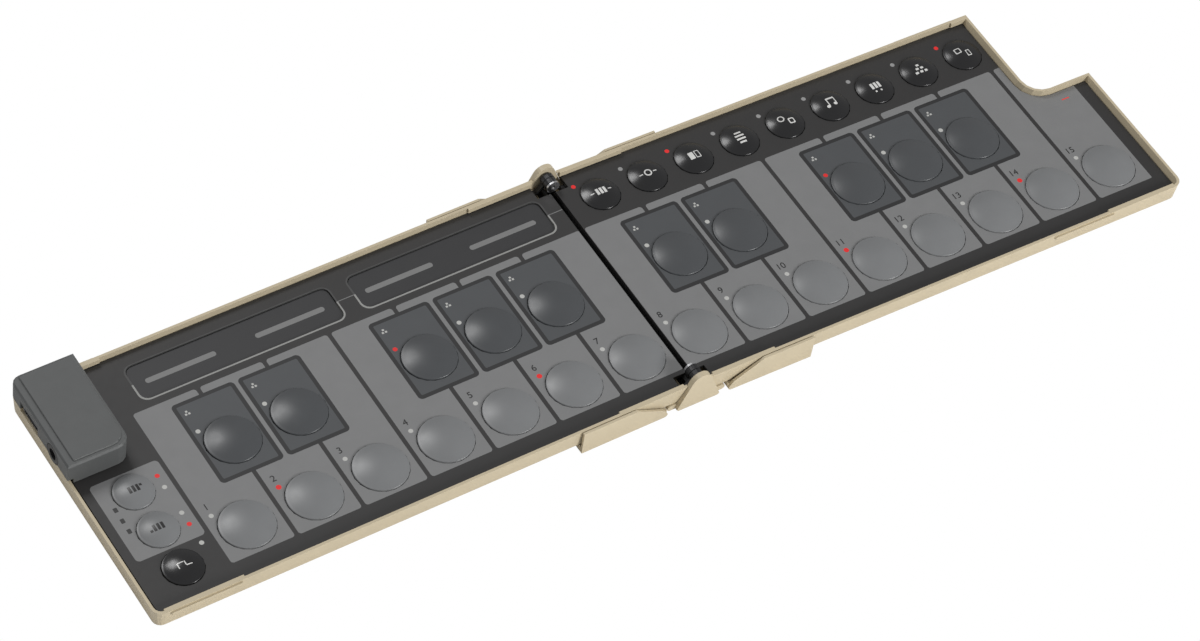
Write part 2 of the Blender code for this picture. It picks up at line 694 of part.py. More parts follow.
def spine_piece(name):
    """Book spine under the seam, with an ear at each end that holds the pins."""
    radius = SPINE_THICKNESS / 2
    points = []
    for step in range(7):
        angle = -math.pi / 2 + math.pi * step / 6
        points.append((SPINE_HALF_WIDTH - radius + radius * math.cos(angle),
                       SPINE_BOTTOM + radius + radius * math.sin(angle)))
    points += [(-x, z) for x, z in reversed(points)]
    spine = along_y(name, points, -EAR_INNER_Y - 0.0005, EAR_INNER_Y + 0.0005)
    bore = PIN_RADIUS + PIN_CLEARANCE
    for end in (-1, 1):
        low, high = sorted((end * EAR_INNER_Y, end * EAR_OUTER_Y))
        join(spine, along_y("ear", ear_outline(), low, high))
        low, high = sorted((end * (EAR_INNER_Y - 0.001), end * (EAR_OUTER_Y - WALL_LIP + PIN_CLEARANCE)))
        hole = turned("hole", [(0.0, low), (bore, low), (bore, high), (0.0, high)], HINGE_SEGMENTS, "Y")
        cut(spine, moved(hole, 0.0, 0.0, AXIS_HEIGHT))
    return smooth(spine)


def rail(name, side):
    """Cross rail: a flat sole under the case with turned-up front and back flanges."""
    top = RIM_HEIGHT - RAIL_TOP_BELOW_RIM
    sole = [(RAIL_OUTER_X, RAIL_BOTTOM), (RAIL_OUTER_X, UNDER_CASE),
            (RAIL_INNER_X, UNDER_CASE)] + rail_nose()
    flange = [(RAIL_OUTER_X, RAIL_BOTTOM), (RAIL_OUTER_X, top), (RAIL_BEND_X, top),
              (RAIL_SHOULDER_X, -RAIL_SHOULDER_DROP)] + rail_nose()
    mirrored = [(side * x, z) for x, z in sole]
    made = along_y(name, mirrored, -FLANGE_INNER_Y - 0.0001, FLANGE_INNER_Y + 0.0001)
    mirrored = [(side * x, z) for x, z in flange]
    for end in (-1, 1):
        low, high = sorted((end * FLANGE_INNER_Y, end * FLANGE_OUTER_Y))
        join(made, along_y("flange", mirrored, low, high))
    return smooth(made)


def rail_nose(steps=4):
    """Quarter round under the rail's inner end, from its side to its sole."""
    points = []
    for step in range(steps + 1):
        angle = math.pi / 2 * step / steps
        points.append((RAIL_INNER_X + RAIL_NOSE_RADIUS * (1 - math.cos(angle)),
                       RAIL_BOTTOM + RAIL_NOSE_RADIUS * (1 - math.sin(angle))))
    return points


def block_outline(inset):
    """Corner block seen from above."""
    corners = [(-HALF_LENGTH, BLOCK_FRONT_Y, 0.0), (BLOCK_RIGHT_X, BLOCK_FRONT_Y, BLOCK_FRONT_RADIUS),
               (BLOCK_RIGHT_X, HALF_DEPTH, 0.0), (-HALF_LENGTH, HALF_DEPTH, BLOCK_BACK_RADIUS)]
    return outline(corners, inset)


def corner_block(name):
    """Hollow socket housing that stands on the corner of the left half."""
    shoulder = BLOCK_HEIGHT - BLOCK_SHOULDER
    block = loft(name, [
        (block_outline(0.0), CLEARANCE),
        (block_outline(0.0), shoulder - BLOCK_TOP_CHAMFER),
        (block_outline(BLOCK_TOP_CHAMFER), shoulder),
    ])
    panel_corners = [
        (-HALF_LENGTH + PANEL_LEFT_BORDER, BLOCK_FRONT_Y + PANEL_FRONT_BORDER, 0.0005),
        (BLOCK_RIGHT_X - PANEL_BORDER, BLOCK_FRONT_Y + PANEL_FRONT_BORDER, BLOCK_FRONT_RADIUS),
        (BLOCK_RIGHT_X - PANEL_BORDER, HALF_DEPTH - PANEL_BORDER, 0.0005),
        (-HALF_LENGTH + PANEL_LEFT_BORDER, HALF_DEPTH - PANEL_BORDER, 0.0005),
    ]
    join(block, loft("panel", [(outline(panel_corners), shoulder - 0.0003),
                               (outline(panel_corners), BLOCK_HEIGHT - BLOCK_SHOULDER / 2),
                               (outline(panel_corners, BLOCK_SHOULDER / 2), BLOCK_HEIGHT)]))
    cut(block, loft("cavity", [(block_outline(BLOCK_WALL), -0.001),
                               (block_outline(BLOCK_WALL), shoulder - BLOCK_WALL)]))
    over_rim = RIM_HEIGHT + CLEARANCE
    cut(block, box("rim_seat_end", (-HALF_LENGTH - 0.001, 0.0, -0.001),
                   (-HALF_LENGTH + END_WALL_FOOT + CLEARANCE, HALF_DEPTH + 0.001, over_rim)))
    cut(block, box("rim_seat_back", (-HALF_LENGTH - 0.001, HALF_DEPTH - BLOCK_WALL - CLEARANCE, -0.001),
                   (BLOCK_RIGHT_X + 0.001, HALF_DEPTH + 0.001, over_rim)))
    outer, inner = -HALF_LENGTH - 0.001, -HALF_LENGTH + BLOCK_WALL + 0.0005
    slot = box("slot", (outer, SLOT_Y - SLOT_LENGTH / 2, SLOT_BOTTOM),
               (inner, SLOT_Y + SLOT_LENGTH / 2, SLOT_TOP))
    ring = moved(turned("ring", [(0.0, outer), (JACK_HOLE_RADIUS, outer), (JACK_HOLE_RADIUS, inner),
                                 (0.0, inner)], 24, "X"), 0.0, JACK_Y, JACK_Z)
    return cut(block, slot, ring)


def audio_jack(name):
    """Round jack: a box body with a barrel through the wall and a blind bore."""
    length, width, height = JACK_BODY
    start = -HALF_LENGTH + BLOCK_WALL + CLEARANCE
    low = PORT_BOARD_TOP + CLEARANCE
    body = box(name, (start, JACK_Y - width / 2, low), (start + length, JACK_Y + width / 2, low + height))
    barrel = turned("barrel", [(0.0, -HALF_LENGTH), (JACK_RING_RADIUS, -HALF_LENGTH),
                               (JACK_RING_RADIUS, start + 0.0002), (0.0, start + 0.0002)], 24, "X")
    join(body, moved(barrel, 0.0, JACK_Y, JACK_Z))
    front = -HALF_LENGTH - 0.001
    depth = -HALF_LENGTH + JACK_BORE_DEPTH
    bore = turned("bore", [(0.0, front), (JACK_BORE_RADIUS, front), (JACK_BORE_RADIUS, depth),
                           (0.0, depth)], 20, "X")
    return smooth(cut(body, moved(bore, 0.0, JACK_Y, JACK_Z)))


def usb_socket(name):
    """Flat oval socket: a steel shell with a tongue down its middle."""
    front = -HALF_LENGTH + USB_FRONT_INSET
    low = PORT_BOARD_TOP + CLEARANCE

    def section(inset):
        """Rounded section in Y and Z as corners of an outline."""
        radius = USB_HEIGHT / 2 - 0.0001
        corners = [(SLOT_Y - USB_WIDTH / 2, low, radius), (SLOT_Y + USB_WIDTH / 2, low, radius),
                   (SLOT_Y + USB_WIDTH / 2, low + USB_HEIGHT, radius),
                   (SLOT_Y - USB_WIDTH / 2, low + USB_HEIGHT, radius)]
        return outline(corners, inset)

    def tube(label, inset, start, end):
        """Section carried along X."""
        made = loft(label, [(section(inset), start), (section(inset), end)])
        turn = Matrix(((0, 0, 1, 0), (1, 0, 0, 0), (0, 1, 0, 0), (0, 0, 0, 1)))
        made.data.transform(turn)
        return made

    shell = tube(name, 0.0, front, front + USB_LENGTH)
    cut(shell, tube("mouth", USB_SHELL, front - 0.001, front + USB_LENGTH - 0.0008))
    length, width, height = USB_TONGUE
    middle = low + USB_HEIGHT / 2
    tongue = box("tongue", (front + USB_LENGTH - length - 0.0008, SLOT_Y - width / 2, middle - height / 2),
                 (front + USB_LENGTH - 0.0004, SLOT_Y + width / 2, middle + height / 2))
    return smooth(join(shell, tongue))


def port_board(name):
    """Small board in the corner block that carries both sockets."""
    x_low = -HALF_LENGTH + END_WALL_FOOT + CLEARANCE
    x_high = BLOCK_RIGHT_X - BLOCK_WALL - CLEARANCE
    y_low = BLOCK_FRONT_Y + BLOCK_WALL + CLEARANCE
    y_high = HALF_DEPTH - BLOCK_WALL - 2 * CLEARANCE
    cut_corner = BLOCK_FRONT_RADIUS
    points = [Vector((x_low, y_low)), Vector((x_high - cut_corner, y_low)),
              Vector((x_high, y_low + cut_corner)), Vector((x_high, y_high)), Vector((x_low, y_high))]
    return loft(name, [(points, PORT_BOARD_TOP - PORT_BOARD_THICKNESS), (points, PORT_BOARD_TOP)])


def build_left(carrier):
    """Left half: the tray, its deck, the sockets and the touch strips."""
    tray = case_half("left_case", -1)
    left_socket_cuts(tray)
    place(smooth(tray), "cream_plastic", carrier)
    place(deck_half("left_deck", -1), "black_deck", carrier)
    place(board_half("left_circuit_board", -1), "board_green", carrier)
    place(rail("left_rail", -1), "cream_plastic", carrier)
    place(corner_block("corner_block"), "block_grey", carrier)
    place(audio_jack("audio_jack"), "socket_black", carrier)
    place(usb_socket("usb_socket"), "steel", carrier)
    place(port_board("port_board"), "board_green", carrier)
    for name, (low, high) in zip(STRIP_NAMES, STRIP_SPANS):
        place(touch_strip(name, low, high), "strip_black", carrier)
    place(hinge_leaf("front_hinge_leaf_left", -1, -1), "black_steel", carrier)
    place(hinge_leaf("back_hinge_leaf_left", -1, 1), "black_steel", carrier)


def build_right(carrier):
    """Right half, notched where the corner block passes when it shuts."""
    place(smooth(case_half("right_case", 1)), "cream_plastic", carrier)
    place(deck_half("right_deck", 1), "black_deck", carrier)
    place(board_half("right_circuit_board", 1), "board_green", carrier)
    place(rail("right_rail", 1), "cream_plastic", carrier)
    place(hinge_leaf("front_hinge_leaf_right", 1, -1), "black_steel", carrier)
    place(hinge_leaf("back_hinge_leaf_right", 1, 1), "black_steel", carrier)


def build_spine(carrier):
    """Spine and the two hinge pins, which turn half as far as the right half."""
    place(spine_piece("spine"), "cream_plastic", carrier)
    place(hinge_pin("front_hinge_pin", -1), "steel", carrier)
    place(hinge_pin("back_hinge_pin", 1), "steel", carrier)


def build_domes(left, right):
    """Every key and button, each on its own line of travel."""
    for name, side, x, y, kind, colour in dome_places():
        place(dome(name, kind), colour, left if side < 0 else right, (x, y))


def main():
    """Build the whole keyboard, open and standing on its rails and outer edges."""
    clear_scene()
    left = hinge_carrier("left_half", -TILT)
    right = hinge_carrier("right_half", TILT)
    middle = hinge_carrier("spine_line", 0.0)
    build_left(left)
    build_right(right)
    build_spine(middle)
    build_domes(left, right)


main()
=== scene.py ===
"""Looks of the folding keyboard: finishes, printed decks, fine pads, numbers and the stage."""

import json
import math

import bpy
import numpy as np
from mathutils import Matrix, Vector

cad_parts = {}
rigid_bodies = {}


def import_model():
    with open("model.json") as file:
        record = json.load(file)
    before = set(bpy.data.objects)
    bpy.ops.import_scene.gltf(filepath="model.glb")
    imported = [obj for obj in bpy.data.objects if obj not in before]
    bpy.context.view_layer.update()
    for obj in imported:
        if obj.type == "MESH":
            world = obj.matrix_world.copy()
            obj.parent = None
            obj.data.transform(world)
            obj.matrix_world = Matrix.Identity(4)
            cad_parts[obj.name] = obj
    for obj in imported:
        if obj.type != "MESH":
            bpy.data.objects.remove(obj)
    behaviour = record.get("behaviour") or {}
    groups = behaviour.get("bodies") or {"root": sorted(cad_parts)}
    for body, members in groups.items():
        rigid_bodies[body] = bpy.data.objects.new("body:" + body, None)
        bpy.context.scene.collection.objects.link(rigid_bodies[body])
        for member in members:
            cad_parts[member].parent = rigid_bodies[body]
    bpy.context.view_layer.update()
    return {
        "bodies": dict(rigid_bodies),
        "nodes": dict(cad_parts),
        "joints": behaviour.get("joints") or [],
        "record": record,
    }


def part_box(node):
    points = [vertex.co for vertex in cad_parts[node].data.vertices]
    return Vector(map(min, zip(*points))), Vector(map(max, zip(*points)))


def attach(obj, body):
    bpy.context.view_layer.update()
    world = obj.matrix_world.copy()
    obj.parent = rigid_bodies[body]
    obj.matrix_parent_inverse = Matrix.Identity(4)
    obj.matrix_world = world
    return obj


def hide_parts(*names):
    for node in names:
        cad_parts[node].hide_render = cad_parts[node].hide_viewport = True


bl_info = {
    "name": "Folding keyboard looks",
    "version": (1, 0, 0),
    "blender": (4, 5, 0),
    "location": "3D View > Sidebar > Keyboard",
    "description": "Dresses the packed folding keyboard and sets its studio",
    "category": "Object",
}

KEY_PITCH = 0.0207
AXIS_HEIGHT = 0.00205
FRAME = {}

# Printed layout in a half's flat frame, in metres
LAST_LEFT_KEY = 7
KEY_COUNT = 15
SEAM_COUNT = 7.5
RIGHT_PRINT_SHIFT = 0.00036
FIELD_RUNS = {-1: (-0.1449, -0.0009), 1: (0.0005, 0.1650)}
FIELD_MIDDLE_Y = -0.00695
FIELD_HALF_DEPTH = 0.02795
BOXED_KEYS = {-1: (1.5, 2.5, 4.5, 5.5, 6.5), 1: (8.5, 9.5, 11.5, 12.5, 13.5)}
LIT_BOXED_KEYS = (4.5, 11.5)
LIT_KEYS = {-1: (2, 6), 1: (11, 14)}
KEY_LAMP = (-0.00707, -0.01868)
BOX_LAMP = (-0.00697, 0.0078)
BOX_MARKS = ((-0.0066, 0.0152), (-0.0071, 0.0143), (-0.0061, 0.0143))
SIDE_LAMP_X = -0.1481
SIDE_LAMPS = ((-0.0003, 1), (-0.0045, 0), (-0.0141, 0), (-0.0183, 1), (-0.0252, 0))
TOP_LAMP = (0.0065, 0.0357)
TOP_PITCH = 0.01609
TOP_COUNT = 9
LIT_TOP = (0, 2, 8)
STRIP_SPANS = ((-0.1393, -0.0753), (-0.0692, -0.0059))
STRIP_LINES = ((-0.0751, -0.0693), (-0.00575, -0.0009))
STRIP_MIDDLE_Y = 0.0299
STRIP_BARS = {
    "touch_strip_outer": ((-0.1355, -0.1136), (-0.1011, -0.0792)),
    "touch_strip_inner": ((-0.0659, -0.0441), (-0.0317, -0.0099)),
}
NUMBER_SIZE = 0.0030
NUMBER_PLACE = (-0.00705, -0.0156, 0.00003)

# Print colours
DECK_BLACK = (0.028, 0.027, 0.027)
FIELD_GREY = (0.205, 0.206, 0.208)
BOX_RIM = (0.022, 0.022, 0.023)
BOX_FILL = (0.072, 0.076, 0.081)
LINE_GREY = (0.2, 0.2, 0.2)
LAMP_OFF = (0.5, 0.5, 0.48)
TOP_LAMP_OFF = (0.3, 0.3, 0.3)
LAMP_LIT = (0.8, 0.02, 0.02)
BOX_LAMP_LIT = (0.75, 0.02, 0.02)

# Places of the pad under the deck, and its roundness
PAD_FLOOR = -0.0011
PAD_ROUND_OFF = 0.0003
MILLIMETRES = 1000

# Each slot's colour, roughness, metal, grain scale and grain depth
LOOKS = {
    "cream_plastic": ((0.56, 0.48, 0.335), 0.45, 0.0, 2200.0, 0.12),
    "grey_dome": ((0.200, 0.205, 0.210), 0.36, 0.0, 3000.0, 0.08),
    "dark_dome": ((0.070, 0.074, 0.079), 0.34, 0.0, 3000.0, 0.08),
    "black_dome": ((0.014, 0.014, 0.015), 0.24, 0.0, 3000.0, 0.06),
    "block_grey": ((0.098, 0.102, 0.102), 0.55, 0.0, 1500.0, 0.5),
    "steel": ((0.58, 0.58, 0.59), 0.28, 1.0, 2600.0, 0.1),
    "black_steel": ((0.05, 0.05, 0.052), 0.35, 0.7, 2600.0, 0.1),
    "board_green": ((0.02, 0.11, 0.05), 0.4, 0.0, 900.0, 0.1),
    "socket_black": ((0.02, 0.02, 0.02), 0.5, 0.0, 2600.0, 0.1),
    "number_print": ((0.015, 0.015, 0.015), 0.5, 0.0, 2600.0, 0.05),
}

# Marks on the pads as (x, y, half width, half height, corner radius, light), in millimetres
BARS = [(x, 0, 0.42, 1.1, 0.1, 1) for x in (-1.2, 0, 1.2)]
MARKS = {
    "function_button_1": BARS + [(-2.9, 0, 0.6, 0.16, 0.05, 1), (2.9, 0, 0.6, 0.16, 0.05, 1)],
    "function_button_2": [(0, 0, 1.2, 1.2, 1.2, 1), (0, 0, 0.8, 0.8, 0.8, 0),
                          (-2.3, 0, 0.6, 0.16, 0.05, 1), (2.3, 0, 0.6, 0.16, 0.05, 1)],
    "function_button_3": [(-1.0, 0, 0.8, 1.3, 0.1, 1), (1.0, 0, 0.8, 1.3, 0.1, 1),
                          (1.0, 0, 0.55, 1.05, 0.1, 0)],
    "function_button_4": [(0, y, 1.7 - abs(y) / 3, 0.3, 0.1, 1) for y in (-1.8, -0.6, 0.6, 1.8)],
    "function_button_5": [(-1.3, 0.8, 1.1, 1.1, 1.1, 1), (-1.3, 0.8, 0.75, 0.75, 0.75, 0),
                          (1.5, -0.9, 1.0, 1.0, 0.4, 1), (1.5, -0.9, 0.65, 0.65, 0.3, 0)],
    "function_button_6": [(-1.3, -1.1, 0.6, 0.5, 0.5, 1), (1.2, -0.8, 0.6, 0.5, 0.5, 1),
                          (-0.85, 0.3, 0.16, 1.3, 0.05, 1), (1.65, 0.6, 0.16, 1.3, 0.05, 1),
                          (0.4, 1.6, 1.4, 0.3, 0.1, 1)],
    "function_button_7": BARS + [(x, -2.1, 0.3, 0.3, 0.3, 1) for x in (-0.9, 0.9)],
    "function_button_8": [(x, y, 0.5, 0.38, 0.1, 1) for x, y in
                          ((0, 1.3), (-0.8, 0), (0.8, 0), (-1.6, -1.3), (0, -1.3), (1.6, -1.3))],
    "function_button_9": [(-1.4, 0.9, 1.0, 1.0, 0.2, 1), (-1.4, 0.9, 0.7, 0.7, 0.1, 0),
                          (1.4, -0.9, 0.7, 1.1, 0.1, 1), (1.4, -0.9, 0.45, 0.85, 0.1, 0)],
    "semitone_up_button": BARS + [(2.3, 0.6, 0.4, 0.4, 0.1, 1)],
    "semitone_down_button": BARS + [(-2.3, -0.6, 0.4, 0.4, 0.1, 1)],
    "sustain_button": [(-0.6, 0.7, 0.9, 0.16, 0.1, 1), (-1.6, -0.1, 0.16, 0.9, 0.1, 1),
                       (0.6, 0.1, 0.16, 0.7, 0.1, 1), (1.5, -0.7, 0.9, 0.16, 0.1, 1)],
}


class PrintSettings(bpy.types.PropertyGroup):
    """Sizes of the printed fields, in metres."""

    field_width: bpy.props.FloatProperty(name="Field width", default=0.0194,
                                         description="Width of one light key field")
    field_radius: bpy.props.FloatProperty(name="Field radius", default=0.0009,
                                          description="Corner radius of a key field")
    box_half: bpy.props.FloatProperty(name="Box half width", default=0.00975,
                                      description="Half width of a dark key's box")
    lamp_radius: bpy.props.FloatProperty(name="Lamp radius", default=0.0007,
                                         description="Radius of a lamp dot")


class PadSettings(bpy.types.PropertyGroup):
    """Shape of the sprung pads, in metres."""

    rise: bpy.props.FloatProperty(name="Rise", default=0.0017, description="Height over the deck")
    edge: bpy.props.FloatProperty(name="Edge", default=0.0003, description="Height of the straight edge")
    spokes: bpy.props.IntProperty(name="Spokes", default=72, description="Points round a pad")


class StageSettings(bpy.types.PropertyGroup):
    """Studio and camera."""

    focal_pixels: bpy.props.FloatProperty(name="Focal length", default=4507.7,
                                          description="Focal length in pixels at 1200 across")
    key_power: bpy.props.FloatProperty(name="Main light", default=22.0,
                                       description="Power of the large lamp in watts")


class Net:
    """Small helper that adds value nodes to a material and links them."""

    def __init__(self, name):
        self.material = bpy.data.materials.new(name)
        self.material.use_nodes = True
        self.tree = self.material.node_tree
        self.shader = self.tree.nodes["Principled BSDF"]
        coords = self.tree.nodes.new("ShaderNodeTexCoord")
        split = self.tree.nodes.new("ShaderNodeSeparateXYZ")
        self.tree.links.new(coords.outputs["Object"], split.inputs[0])
        self.place = coords.outputs["Object"]
        self.x, self.y, self.z = (split.outputs[name] for name in "XYZ")

    def math(self, operation, *values):
        """One Math node on sockets or plain numbers."""
        node = self.tree.nodes.new("ShaderNodeMath")
        node.operation = operation
        for socket, value in zip(node.inputs, values):
            if isinstance(value, (int, float)):
                socket.default_value = value
            else:
                self.tree.links.new(value, socket)
        return node.outputs[0]

    def rounded(self, x, y, centre, half, radius):
        """1 inside a rounded rectangle: distance past its inner core is under the radius."""
        past = []
        for value, middle, reach in zip((x, y), centre, half):
            away = self.math("ABSOLUTE", self.math("SUBTRACT", value, middle))
            past.append(self.math("MAXIMUM", self.math("SUBTRACT", away, reach - radius), 0.0))
        squares = [self.math("MULTIPLY", value, value) for value in past]
        return self.math("LESS_THAN", self.math("ADD", *squares), radius ** 2)

    def disc(self, x, y, centre, radius):
        """1 inside a circle."""
        return self.rounded(x, y, centre, (radius, radius), radius)

    def span(self, value, low, high):
        """1 between two values."""
        return self.math("COMPARE", value, (low + high) / 2, (high - low) / 2)

    def paint(self, base, mask, colour):
        """Colour socket with one more colour laid over the base where the mask is 1."""
        mix = self.tree.nodes.new("ShaderNodeMix")
        mix.data_type = "RGBA"
        self.tree.links.new(mask, mix.inputs["Factor"])
        if isinstance(base, tuple):
            mix.inputs["A"].default_value = (*base, 1.0)
        else:
            self.tree.links.new(base, mix.inputs["A"])
        mix.inputs["B"].default_value = (*colour, 1.0)
        return mix.outputs["Result"]

    def noise(self, scale, detail=4.0):
        """Noise over the piece's own place."""
        node = self.tree.nodes.new("ShaderNodeTexNoise")
        node.inputs["Scale"].default_value = scale
        node.inputs["Detail"].default_value = detail
        self.tree.links.new(self.place, node.inputs["Vector"])
        return node.outputs["Fac"]

    def close(self, colour, roughness, metallic=0.0, grain=2500.0, bump=0.15, mottle=0.06):
        """Mottled colour, uneven roughness and a fine grain on the shader."""
        soft = self.noise(180.0)
        factor = self.math("ADD", self.math("MULTIPLY", self.math("SUBTRACT", soft, 0.5), mottle * 2), 1.0)
        tint = self.tree.nodes.new("ShaderNodeVectorMath")
        tint.operation = "SCALE"
        if isinstance(colour, tuple):
            tint.inputs[0].default_value = colour
        else:
            self.tree.links.new(colour, tint.inputs[0])
        self.tree.links.new(factor, tint.inputs["Scale"])
        self.tree.links.new(tint.outputs[0], self.shader.inputs["Base Color"])
        rough = self.math("ADD", self.math("MULTIPLY", self.noise(420.0), 0.12), roughness - 0.06)
        self.tree.links.new(rough, self.shader.inputs["Roughness"])
        self.shader.inputs["Metallic"].default_value = metallic
        node = self.tree.nodes.new("ShaderNodeBump")
        node.inputs["Strength"].default_value = bump
        node.inputs["Distance"].default_value = 0.00004
        self.tree.links.new(self.noise(grain, 2.0), node.inputs["Height"])
        self.tree.links.new(node.outputs["Normal"], self.shader.inputs["Normal"])
        return self.material


def print_shift(side):
    """How far the print of a half is moved away from the seam."""
    return 0.0 if side < 0 else RIGHT_PRINT_SHIFT


def deck_finish(side):
    """Deck print: light fields, boxed dark keys and lamp dots, all by formula."""
    prints = bpy.context.scene.keyboard_prints
    net = Net("deck_print_left" if side < 0 else "deck_print_right")
    shift = print_shift(side)
    half_pitch = KEY_PITCH / 2
    cell = net.math("WRAP", net.math("SUBTRACT", net.x, half_pitch + shift), half_pitch, -half_pitch)
    run = net.span(net.x, *FIELD_RUNS[side])
    half = (prints.field_width / 2, FIELD_HALF_DEPTH)
    shape = net.rounded(cell, net.y, (0.0, FIELD_MIDDLE_Y), half, prints.field_radius)
    field = net.math("MULTIPLY", shape, run)
    colour = net.paint(DECK_BLACK, field, FIELD_GREY)
    lamps = net.math("MULTIPLY", net.disc(cell, net.y, KEY_LAMP, prints.lamp_radius), run)
    colour = net.paint(colour, lamps, LAMP_OFF)
    for number in BOXED_KEYS[side]:
        middle = (number - SEAM_COUNT) * KEY_PITCH + shift
        rim = net.rounded(net.x, net.y, (middle, 0.00395), (prints.box_half, 0.01475), 0.0014)
        fill = net.rounded(net.x, net.y, (middle, 0.0040), (0.0085, 0.0135), 0.0004)
        colour = net.paint(colour, rim, BOX_RIM)
        colour = net.paint(colour, fill, BOX_FILL)
        dot = net.disc(net.x, net.y, (middle + BOX_LAMP[0], BOX_LAMP[1]), prints.lamp_radius)
        colour = net.paint(colour, dot, BOX_LAMP_LIT if number in LIT_BOXED_KEYS else LAMP_OFF)
        for x, y in BOX_MARKS:
            mark = net.rounded(net.x, net.y, (middle + x, y), (0.00032, 0.00032), 0.0001)
            colour = net.paint(colour, mark, LAMP_OFF)
    for number in LIT_KEYS[side]:
        middle = (number - SEAM_COUNT) * KEY_PITCH + shift
        dot = net.disc(net.x, net.y, (middle + KEY_LAMP[0], KEY_LAMP[1]), prints.lamp_radius + 0.0001)
        colour = net.paint(colour, dot, LAMP_LIT)
    colour = left_prints(net, colour, prints) if side < 0 else right_prints(net, colour, prints)
    return net.close(colour, 0.5, grain=3500.0, bump=0.08)


def left_prints(net, colour, prints):
    """Left half's own prints and painted light: side panel, strip rims and lines, marks and lamps; the
    front half of each strip rim is painted lighter as a painted highlight on the recess lip.
    """
    panel = net.rounded(net.x, net.y, (-0.1560, -0.00925), (0.0104, 0.01385), 0.0013)
    colour = net.paint(colour, panel, FIELD_GREY)
    for low, high in STRIP_SPANS:
        middle, half = ((low + high) / 2, STRIP_MIDDLE_Y), ((high - low) / 2 + 0.0005, 0.0066)
        rim = net.rounded(net.x, net.y, middle, half, 0.0029)
        # Painted highlight: the front half of each strip rim is painted light grey as the lit front lip of
        # the recess; the back half stays a dark outline.
        painted_highlight_half = net.math("LESS_THAN", net.y, STRIP_MIDDLE_Y)
        colour = net.paint(colour, rim, (0.06, 0.06, 0.06))
        colour = net.paint(colour, net.math("MULTIPLY", rim, painted_highlight_half), (0.3, 0.3, 0.29))
    for low, high in STRIP_LINES:
        middle, half = ((low + high) / 2, 0.0298), ((high - low) / 2, 0.00012)
        line = net.rounded(net.x, net.y, middle, half, 0.00005)
        colour = net.paint(colour, line, LINE_GREY)
    for y in (-0.0053, -0.0093, -0.0131):
        mark = net.rounded(net.x, net.y, (-0.1634, y), (0.0006, 0.0008), 0.0002)
        colour = net.paint(colour, mark, (0.03, 0.03, 0.03))
    for y, lit in SIDE_LAMPS:
        dot = net.disc(net.x, net.y, (SIDE_LAMP_X, y), prints.lamp_radius)
        colour = net.paint(colour, dot, LAMP_LIT if lit else LAMP_OFF)
    return colour


def right_prints(net, colour, prints):
    """Right half's own prints: a lamp beside each function button, and a dash."""
    for index in range(TOP_COUNT):
        place = (TOP_LAMP[0] + index * TOP_PITCH, TOP_LAMP[1])
        dot = net.disc(net.x, net.y, place, prints.lamp_radius)
        colour = net.paint(colour, dot, LAMP_LIT if index in LIT_TOP else TOP_LAMP_OFF)
    dash = net.rounded(net.x, net.y, (0.1596, 0.0021), (0.0013, 0.0002), 0.0001)
    colour = net.paint(colour, dash, (0.8, 0.05, 0.04))
    return colour


def strip_finish(name):
    """Touch strip with its light bars."""
    net = Net("strip_" + name)
    colour = (0.03, 0.03, 0.032)
    for low, high in STRIP_BARS[name]:
        middle, half = ((low + high) / 2, 0.0297), ((high - low) / 2, 0.00085)
        bar = net.rounded(net.x, net.y, middle, half, 0.0008)
        colour = net.paint(colour, bar, LINE_GREY)
    return net.close(colour, 0.45, bump=0.05)


def plain_finish(slot):
    """Finish of a material slot: colour, roughness, metal and grain."""
    found = bpy.data.materials.get("look_" + slot)
    if found:
        return found
    colour, roughness, metallic, grain, bump = LOOKS[slot]
    return Net("look_" + slot).close(colour, roughness, metallic, grain, bump)


def pad_finish(name, slot, middle):
    """Pad's finish with its small mark painted on the crown."""
    colour, roughness, metallic, grain, bump = LOOKS[slot]
    if name not in MARKS:
        return plain_finish(slot)
    net = Net("pad_" + name)
    ink = (0.02, 0.02, 0.02) if slot == "grey_dome" else (0.7, 0.7, 0.68)
    shown = colour
    for x, y, half_x, half_y, radius, light in MARKS[name]:
        centre = (middle.x + x / MILLIMETRES, middle.y + y / MILLIMETRES)
        half = (half_x / MILLIMETRES, half_y / MILLIMETRES)
        mask = net.rounded(net.x, net.y, centre, half, radius / MILLIMETRES)
        shown = net.paint(shown, mask, ink if light else colour)
    return net.close(shown, roughness, metallic, grain, bump)


def case_finish(name):
    """Cream plastic with painted shade: the case faces lining the seam gap under the decks are painted
    near black.
    """
    colour, roughness, metallic, grain, bump = LOOKS["cream_plastic"]
    net = Net("look_" + name)
    # Painted shade: near black laid on the case in the seam gap, above 2.5 mm, where the gap between the
    # halves falls into shade.
    seam_gap_shade = net.rounded(net.x, net.y, (0.0, 0.0), (0.0028, 0.0405), 0.0001)
    above = net.math("GREATER_THAN", net.z, 0.0025)
    shown = net.paint(colour, net.math("MULTIPLY", seam_gap_shade, above), (0.012, 0.012, 0.012))
    return net.close(shown, roughness, metallic, grain, bump)


def tilt():
    """Resting tilt of each half in radians, and the hinge line's height."""
    fold = next(j for j in FRAME["record"]["behaviour"]["joints"] if j["name"] == "fold")
    return math.radians((fold["range_deg"][1] - 180) / 2), fold["pos_m"][2]


def half_matrix(side):
    """Matrix from a half's own flat frame to the row frame."""
    angle, height = tilt()
    turn = Matrix.Rotation(side * angle, 4, "Y")
    return Matrix.Translation((0, 0, height)) @ turn @ Matrix.Translation((0, 0, -AXIS_HEIGHT))


def add_piece(mesh, name, body, side):
    """Object from a mesh in a half's frame, placed in the mesh and set to ride."""
    mesh.transform(half_matrix(side))
    made = bpy.data.objects.new(name, mesh)
    bpy.context.scene.collection.objects.link(made)
    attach(made, body)
    return made


